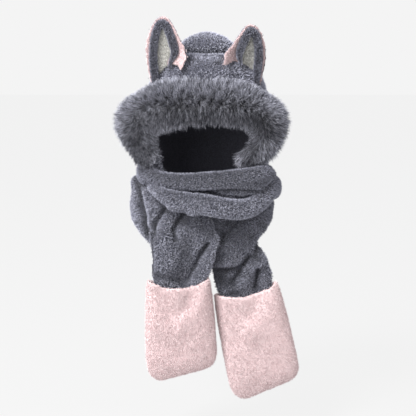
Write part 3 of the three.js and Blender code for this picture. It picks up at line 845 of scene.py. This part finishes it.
@dataclass
class FurBrim:
    """Long fur roll round the face opening.

    Attributes:
        middle: Where its middle lies across.
        out: Distance of its middle line from there, from the top down a side.
        ahead: How far forward the line lies.
        half: Half width of the roll along the line.
        opening: Middle of the face opening in the front view.
        part_rise: Height over the line of the painted shade along the parting.
        part_shift: How far below the line the fur parts, in half widths.
        part_wave: How unevenly it parts.
        part_size: Size of that unevenness.
        part_sharp: How sharply it parts.
        low_from: Level below which the fur hangs.
        low_over: Height over which that sets in.
        low_share: Only fur outside this share of the half width does so.
        hang: Hang of all fur, more below the parting, more low on the cheeks.
        roots: How the roots are combed.
        tips: How the tips are combed.
        front_share: Length of the fur over the forehead.
        cheek_from: Level at which the cheek fur is shortest.
        cheek_over: Height over which it gets longer.
        side_from: Distance from the middle at which the cheeks begin.
        corner_at: Place of the upper corners, whose fur is shorter.
        corner_cut: How much shorter it is there.
        hem_at: Place low on the right cheek, whose fur is longer.
        hem_more: How much longer it is there.
    """

    middle: float = -0.011
    out: tuple = (0.0, 0.0447, 0.086, 0.1187, 0.1359, 0.1376, 0.129, 0.1152, 0.110)
    ahead: tuple = (0.108, 0.1069, 0.1026, 0.0929, 0.0832, 0.0767, 0.0745, 0.0745, 0.0745)
    level: tuple = (-0.093, -0.094, -0.0969, -0.1067, -0.1253, -0.1518, -0.1792, -0.2077, -0.236)
    half: tuple = (0.049, 0.0485, 0.0465, 0.043, 0.0397, 0.0358, 0.0323, 0.0284, 0.0245)
    face: float = 0.006
    room: float = 0.008
    opening: tuple = (-0.011, -0.19)
    part_rise: float = -0.018
    part_width: float = 0.026
    part_shift: float = 0.14
    part_wave: float = 0.16
    part_size: float = 0.012
    part_seed: int = 7
    part_sharp: float = 1.5
    low_from: float = -0.165
    low_over: float = 0.05
    low_share: float = -0.1
    hang: tuple = (0.12, 0.3, 0.6)
    roots: Comb = Comb(0.85, 0.6, 0.4, 1.0)
    tips: Comb = Comb(0.5, 0.85, 0.6, 1.8)
    samples: int = 121
    front_share: float = 0.95
    cheek_from: float = -0.215
    cheek_over: float = 0.075
    cheek_share: float = 0.5
    side_from: float = 0.085
    side_over: float = 0.03
    corner_at: tuple = (0.130, -0.072)
    corner_reach: tuple = (0.045, 0.035)
    corner_cut: float = 0.5
    hem_at: tuple = (0.145, -0.205)
    hem_reach: tuple = (0.03, 0.03)
    hem_more: float = 0.45

    def build(self) -> None:
        """Builds the roll under the fur, with painted shade along the parting, under it and down the
        cheeks.
        """
        self.soft = Soft("brim_roll", ("fur_brim",), Slot.LONG).remesh(self.face).relax(22, 0.6)
        self.soft.inset(self.room).pull(BRIM_PULLS)
        halves = ((-1, slice(4, None, -1)), (1, slice(1, 5)))
        parting = [(self.middle + sign * out, level + self.part_rise) for sign, part in halves
                   for out, level in zip(self.out[part], self.level[part])]
        # Painted shade: along the parting, in a band below it and down the shaded cheeks; these lines have
        # no depth.
        self.soft.carve((
            Fold(tuple(parting), 0.0, self.part_width, dark=0.5),
            Fold(((-0.100, -0.136), (-0.060, -0.130), (0.040, -0.130), (0.080, -0.136)),
                 0.0, 0.016, dark=0.2),
            Fold(((-0.150, -0.165), (-0.140, -0.215)), 0.0, 0.030, dark=0.45),
            Fold(((0.105, -0.180), (0.100, -0.225)), 0.0, 0.030, dark=0.25),
        ))

    def dress(self, cover: BVHTree) -> None:
        """Grows the long fur in two layers.

        Args:
            cover: Surfaces that hide parts of the roll.
        """
        self.soft.dress([LONG.cloth()], 0.7)
        under = Pile(0.0145, 0.0019, 34000, jitter=0.26, bends=True, clump=0.012, pale=0.35, seed=21)
        under.grow("brim_fur_short", self.soft, self.flow, LONG, cover, trim=self.trim)
        outer = Pile(0.0215, 0.0009, 62000, jitter=0.20, bends=True, clump=0.012, speck=0.34,
                     pale=0.41, seed=22)
        outer.grow("brim_fur_long", self.soft, self.flow, LONG, cover, trim=self.trim)

    def trim(self, places: Points) -> Points:
        """Fur is shorter down the cheeks and at the upper corners, and longer at the right hem.

        Args:
            places: Roots of the strands.

        Returns:
            Share of the full length.
        """
        across, level = places[:, 0] - self.middle, places[:, 2]
        rise = np.clip((level - self.cheek_from) / self.cheek_over, 0, 1)
        cheek = self.cheek_share + (1 - self.cheek_share) * rise
        side = np.clip((np.abs(across) - self.side_from) / self.side_over, 0, 1)
        corner = bell(np.abs(across), level, self.corner_at, self.corner_reach)
        hem = self.hem_more * bell(across, level, self.hem_at, self.hem_reach)
        share = (1 - side) * self.front_share + side * cheek
        return share * (1 - self.corner_cut * corner) + hem

    def flow(self, places: Points, normals: Points) -> tuple[Points, Points]:
        """Fur parts along the front of the roll, runs outward above it and hangs in below it.

        Args:
            places: Roots of the strands.
            normals: Outward directions there.

        Returns:
            Ways of the roots and of the tips.
        """
        arm = np.array((self.out, self.ahead, self.level, self.half)).T
        line = np.vstack([arm[::-1] * (-1, -1, 1, 1), arm[1:] * (1, -1, 1, 1)])
        line[:, 0] += self.middle
        steps = np.linspace(0, len(line) - 1, self.samples)
        fine = np.stack([np.interp(steps, np.arange(len(line)), line[:, k]) for k in range(3)], axis=1)
        half = np.interp(steps, np.arange(len(line)), line[:, 3])
        nearest = np.linalg.norm(places[:, None, [0, 2]] - fine[None, :, [0, 2]], axis=2).argmin(axis=1)
        along = unit(np.gradient(fine, axis=0))[nearest]
        centre = fine[nearest]
        outward = unit(np.cross(along, np.array([0, -1.0, 0])))
        away = centre[:, [0, 2]] - np.array(self.opening)
        outward *= np.sign((outward[:, [0, 2]] * away).sum(axis=1))[:, None]
        share = ((places - centre) * outward).sum(axis=1) / half[nearest]
        share += self.part_shift + self.part_wave * ripple(places, self.part_size, self.part_seed)
        part = np.tanh(share * self.part_sharp)[:, None]
        low = np.clip((self.low_from - places[:, 2]) / self.low_over, 0, 1)[:, None]
        low = low * (share > self.low_share)[:, None]
        always, below, cheeks = self.hang
        hang = (always + below * np.clip(-share, 0, 1)[:, None] + cheeks * low) * np.array([0, 0, -1.0])
        root, tip = (
            normals * comb.outward + outward * part * (comb.aside - comb.less * low) + hang * comb.hang
            for comb in (self.roots, self.tips))
        return root, tip


@dataclass
class Ear:
    """Upright ear: grey back, pink front, pale centre and dark fur rim."""

    side: Side
    rim_pulls: tuple[Pull, ...]
    leaf_pulls: tuple[Pull, ...]
    shades: tuple[Fold, ...]
    face: float = 0.0028
    centre_face: float = 0.72

    @property
    def word(self) -> str:
        """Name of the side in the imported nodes."""
        return self.side.name.lower()

    def build(self) -> None:
        """Builds the four forms of the ear, with painted shade on the pink front."""
        self.back = self._form("back", Slot.GREY, 0.0011, 5)
        self.front = self._form("front", Slot.PINK, 0.0002, 3)
        self.centre = self._form("centre", Slot.PALE, 0.0004, 4)
        self.rim = self._form("rim", Slot.DARK, 0.0015, 6).pull(self.rim_pulls)
        self.front.pull(self.leaf_pulls).carve(self.shades)

    def _form(self, part: str, slot: Slot, room: float, times: int) -> Soft:
        """One form of the ear."""
        soft = Soft(f"ear_{self.word}_{part}_soft", (f"ear_{self.word}_{part}",), slot)
        share = self.centre_face if part == "centre" else 1.0
        return soft.remesh(self.face * share).relax(times).inset(room)

    def dress(self, cover: BVHTree) -> None:
        """Gives each form its pile.

        Args:
            cover: Surfaces that hide parts of the ear.
        """
        self.back.dress([GREY.cloth()], 0.4)
        self.front.dress([PINK.cloth()], 0.4)
        self.centre.dress([PALE.cloth()], 0.4)
        self.rim.dress([DARK.cloth()], 0.6)
        seed = 40 + self.side.value
        Pile(0.0042, 0.0014, 14000, seed=seed).grow(
            f"ear_{self.word}_back_pile", self.back, downy(-0.3), GREY, cover)
        # The ear's pink pile is painted darker than the same pink on the pockets: painted shade on the
        # leaf.
        Pile(0.0026, 0.0013, 15000, jitter=0.2, speck=0.12, streak=0.05, pale=0.25, seed=seed + 3).grow(
            f"ear_{self.word}_front_pile", self.front, downy(-0.3), PINK, cover)
        Pile(0.0036, 0.0012, 8000, speck=0.14, streak=0.12, seed=seed + 6).grow(
            f"ear_{self.word}_centre_pile", self.centre, downy(-0.5), PALE, cover)
        Pile(0.0052, 0.0012, 15000, jitter=0.4, seed=seed + 9).grow(
            f"ear_{self.word}_rim_fur", self.rim, downy(-0.25), DARK, cover)


@dataclass
class ScarfStrip:
    """Strip of the scarf: its wrap round the neck and its tail, with their folds."""

    side: Side
    folds: tuple[Fold, ...]
    pulls: tuple[Pull, ...]
    pale: float
    face: float = 0.0050
    room: float = 0.0008
    swell: float = 0.0025

    def build(self) -> None:
        """Builds the strip with its padding and folds."""
        word = self.side.name.lower()
        self.soft = Soft(f"scarf_{word}_plush", (f"scarf_{word}",), Slot.GREY).remesh(self.face).relax(4)
        self.soft.inset(self.room + self.swell * 0.5).puff(3.0, self.swell).pull(self.pulls)
        self.soft.carve(self.folds).relax(1)

    def dress(self, cover: BVHTree) -> None:
        """Grows the short pile.

        Args:
            cover: Surfaces that hide parts of the strip.
        """
        self.soft.dress([GREY.cloth()], 0.5)
        Pile(0.0055, 0.0018, 96000, jitter=0.3, uneven=0.22, speck=0.14, streak=0.12, pale=self.pale,
             seed=60 + self.side.value).grow(
            f"{self.soft.name}_pile", self.soft, downy(0.35), GREY, cover)


@dataclass
class HandPocket:
    """Pink hand pocket, open at its top."""

    side: Side
    folds: tuple[Fold, ...]
    face: float = 0.0042
    room: float = 0.0015
    room_share: float = 0.4
    swell: float = 0.002

    def build(self) -> None:
        """Builds the pocket with its padding and dimples."""
        word = self.side.name.lower()
        self.soft = Soft(f"pocket_{word}_plush", (f"pocket_{word}",), Slot.PINK).remesh(self.face).relax(12)
        self.soft.inset(self.room * self.room_share).puff(2.0, self.swell).carve(self.folds)

    def dress(self, cover: BVHTree) -> None:
        """Grows the short pile.

        Args:
            cover: Surfaces that hide parts of the pocket.
        """
        self.soft.dress([PINK.cloth()], 0.5)
        Pile(0.0036, 0.0014, 66000, jitter=0.12, uneven=0.2, clump=0.004, speck=0.18, streak=0.0,
             seed=80 + self.side.value).grow(
            f"{self.soft.name}_pile", self.soft, downy(0.2), PINK, cover)


@dataclass
class Studio:
    """Camera at the photograph's angle, soft light and a plain pale floor."""

    target: tuple = (0.002, 0.0, -0.330)
    distance: float = 2.16
    elevation: float = 10.0
    lens: float = 85.0
    sensor: float = 36.0
    floor_level: float = -0.80
    floor_size: float = 12.0
    floor_shade: float = 0.03
    floor_glow: float = 0.945
    pale: float = 0.905

    def build(self) -> None:
        """Builds camera, world, lights and floor."""
        scene = bpy.context.scene
        scene.view_settings.view_transform = "Standard"
        angle = math.radians(self.elevation)
        spot = Vector(self.target) + Vector((0, -math.cos(angle), math.sin(angle))) * self.distance
        lens = bpy.data.cameras.new("view")
        lens.lens = self.lens
        lens.sensor_width = self.sensor
        camera = bpy.data.objects.new("view", lens)
        camera.location = spot
        camera.rotation_euler = (Vector(self.target) - spot).to_track_quat("-Z", "Y").to_euler()
        scene.collection.objects.link(camera)
        scene.camera = camera
        world = bpy.data.worlds.new("studio")
        world.use_nodes = True
        world.node_tree.nodes["Background"].inputs["Color"].default_value = (self.pale,) * 3 + (1,)
        scene.world = world
        self.lamp("key", (-1.5, -1.4, 2.2), 0.9, 170.0)
        self.lamp("fill", (-1.3, -1.9, 0.1), 1.4, 22.0)
        self.floor()

    def lamp(self, name: str, place: tuple, size: float, power: float) -> None:
        """Adds a soft square lamp that looks at the object.

        Args:
            name: Its name.
            place: Where it stands.
            size: Its side in metres.
            power: Its power in watts.
        """
        light = bpy.data.lights.new(name, "AREA")
        light.size = size
        light.energy = power
        obj = bpy.data.objects.new(name, light)
        obj.location = place
        obj.rotation_euler = (Vector(self.target) - Vector(place)).to_track_quat("-Z", "Y").to_euler()
        bpy.context.scene.collection.objects.link(obj)

    def floor(self) -> None:
        """Adds the pale floor."""
        bm = bmesh.new()
        bmesh.ops.create_grid(bm, x_segments=2, y_segments=2, size=self.floor_size)
        bmesh.ops.translate(bm, verts=bm.verts, vec=(0, 0, self.floor_level))
        mesh = bpy.data.meshes.new("floor")
        bm.to_mesh(mesh)
        bm.free()
        material = bpy.data.materials.new("pale_floor")
        material.use_nodes = True
        shader = material.node_tree.nodes["Principled BSDF"]
        shader.inputs["Base Color"].default_value = (self.floor_shade,) * 3 + (1,)
        shader.inputs["Roughness"].default_value = 1.0
        shader.inputs["Specular IOR Level"].default_value = 0.0
        shader.inputs["Emission Color"].default_value = (self.pale,) * 3 + (1,)
        shader.inputs["Emission Strength"].default_value = self.floor_glow
        mesh.materials.append(material)
        obj = bpy.data.objects.new("floor", mesh)
        bpy.context.scene.collection.objects.link(obj)


# Folds of the left strip, each darkened at its bottom as painted shade.
LEFT_FOLDS = (
    Fold(((-0.148, -0.259), (-0.144, -0.284), (-0.140, -0.308), (-0.132, -0.334), (-0.132, -0.351),
          (-0.124, -0.371)), 0.012, 0.008, 0.003, 0.03, 0.9),
    Fold(((-0.087, -0.313), (-0.104, -0.339), (-0.111, -0.354), (-0.111, -0.368)), 0.011, 0.009, 0.005),
    Fold(((-0.048, -0.323), (-0.062, -0.340), (-0.071, -0.359), (-0.067, -0.376)), 0.011, 0.010, 0.005),
    Fold(((-0.113, -0.377), (-0.112, -0.414), (-0.114, -0.440)), 0.004, 0.005, 0.001, dark=0.5),
    Fold(((-0.046, -0.385), (-0.050, -0.420), (-0.060, -0.462)), 0.007, 0.022, 0.0, dark=0.4),
    Fold(((0.002, -0.387), (-0.015, -0.412), (-0.0276, -0.441), (-0.034, -0.454)), 0.010, 0.009, 0.009),
    Fold(((-0.036, -0.458), (-0.0445, -0.474)), 0.003, 0.008, 0.006, dark=0.7),
    Fold(((-0.108, -0.452), (-0.080, -0.460), (-0.055, -0.468)), 0.006, 0.012, 0.0, dark=0.35),
)
# Folds of the right strip, each darkened at its bottom as painted shade.
RIGHT_FOLDS = (
    Fold(((-0.021, -0.273), (-0.002, -0.271), (0.033, -0.269), (0.060, -0.269), (0.087, -0.272),
          (0.114, -0.275)), 0.006, 0.004, 0.002),
    Fold(((0.069, -0.339), (0.053, -0.358), (0.034, -0.375)), 0.011, 0.008, 0.0, dark=0.35),
    Fold(((0.050, -0.340), (0.036, -0.350), (0.031, -0.368)), 0.008, 0.009, 0.0, dark=0.35),
    # Painted shadow under the brim across the upper wrap: no depth, it only darkens.
    Fold(((-0.120, -0.255), (-0.020, -0.245), (0.090, -0.250)), 0.0, 0.030, 0.0, dark=0.24),
    Fold(((0.114, -0.388), (0.106, -0.399), (0.102, -0.419)), 0.012, 0.008, 0.004, dark=0.9),
    Fold(((0.017, -0.444), (0.042, -0.444), (0.064, -0.441), (0.074, -0.438)),
         0.012, 0.008, 0.004, dark=0.9),
    Fold(((0.091, -0.418), (0.074, -0.438), (0.068, -0.453), (0.057, -0.468)),
         0.012, 0.009, 0.009, dark=0.9),
    Fold(((0.108, -0.444), (0.106, -0.462), (0.103, -0.481)), 0.010, 0.008, 0.005, dark=0.9),
    Fold(((0.022, -0.462), (0.048, -0.468), (0.058, -0.490)), 0.006, 0.018, 0.0, dark=0.55),
)
BRIM_PULLS = (
    Pull((0.088, -0.214), (-0.038, 0.0, 0.0), (0.032, 0.030)),
)
LEFT_RIM_PULLS = (
    Pull((-0.056, -0.018), (-0.018, 0.003, 0.0), (0.014, 0.018)),
)
LEFT_LEAF_PULLS = (
    Pull((-0.056, -0.020), (-0.003, -0.026, -0.013), (0.020, 0.018)),
    Pull((-0.040, 0.004), (0.003, -0.004, 0.0), (0.012, 0.016)),
)
# Painted shade on the pink front of each ear: lines with no depth that only darken it.
LEFT_SHADES = (
    Fold(((-0.062, 0.040), (-0.050, 0.005), (-0.056, -0.025)), 0.0, 0.022, dark=0.30),
)
RIGHT_SHADES = (
    Fold(((0.050, -0.040), (0.060, -0.010)), 0.0, 0.016, dark=0.05),
)
RIGHT_RIM_PULLS = (
    Pull((0.050, -0.016), (0.017, 0.003, 0.0), (0.013, 0.024)),
)
RIGHT_LEAF_PULLS = (
    Pull((0.048, -0.036), (0.006, -0.036, -0.024), (0.022, 0.020)),
    Pull((0.030, -0.010), (0.004, -0.008, 0.004), (0.012, 0.016)),
)
LEFT_PULLS = (
    Pull((-0.002, -0.345), (0.006, 0.0, 0.0), (0.014, 0.014)),
)
RIGHT_PULLS = (
    Pull((0.012, -0.345), (-0.008, 0.0, 0.0), (0.014, 0.014)),
    Pull((0.146, -0.226), (-0.005, 0.0, -0.006), (0.014, 0.012)),
)
# Dimples of the pockets, a little darker at their bottoms as painted shade.
LEFT_DIMPLES = (
    Fold(((-0.101, -0.483), (-0.078, -0.530)), 0.006, 0.018, 0.002, -0.125, 0.1, True),
    Fold(((-0.030, -0.475), (-0.045, -0.515)), 0.006, 0.016, 0.002, -0.125, 0.1, True),
    Fold(((-0.100, -0.590), (-0.060, -0.610)), 0.004, 0.022, 0.0, -0.125, 0.06, True),
)
RIGHT_DIMPLES = (
    Fold(((0.108, -0.490), (0.090, -0.535)), 0.006, 0.020, 0.002, -0.106, 0.1, True),
    Fold(((0.050, -0.520), (0.062, -0.590)), 0.004, 0.020, 0.0, -0.106, 0.06, True),
    Fold(((0.110, -0.610), (0.140, -0.640)), 0.004, 0.024, 0.0, -0.106, 0.06, True),
)


def main() -> None:
    """Builds the object piece by piece, dresses it and sets the studio round it."""
    logging.basicConfig(level=logging.INFO, format="%(message)s")
    Studio().build()
    hood = Hood()
    brim = FurBrim()
    ears = [Ear(Side.LEFT, LEFT_RIM_PULLS, LEFT_LEAF_PULLS, LEFT_SHADES),
            Ear(Side.RIGHT, RIGHT_RIM_PULLS, RIGHT_LEAF_PULLS, RIGHT_SHADES)]
    # The left strip's pile is painted lighter and the right strip's darker: painted light and shade from
    # the light on the left.
    scarves = [ScarfStrip(Side.LEFT, LEFT_FOLDS, LEFT_PULLS, 0.46),
               ScarfStrip(Side.RIGHT, RIGHT_FOLDS, RIGHT_PULLS, 0.34)]
    pockets = [HandPocket(Side.LEFT, LEFT_DIMPLES), HandPocket(Side.RIGHT, RIGHT_DIMPLES)]
    for assembly in (hood, brim, *ears, *scarves, *pockets):
        assembly.build()
        LOG.info("built %s", type(assembly).__name__)
    forms = [hood.soft, brim.soft, *(s.soft for s in scarves), *(p.soft for p in pockets)]
    for ear in ears:
        forms += [ear.back, ear.front, ear.centre, ear.rim]
    cover = cover_of(*forms)
    for assembly in (hood, brim, *ears, *scarves, *pockets):
        assembly.dress(cover)
    total = sum(len(p.vertices) - 2 for f in forms for p in f.obj.data.polygons)
    LOG.info("bases: %d triangles", total)


if __name__ == "__main__":
    main()
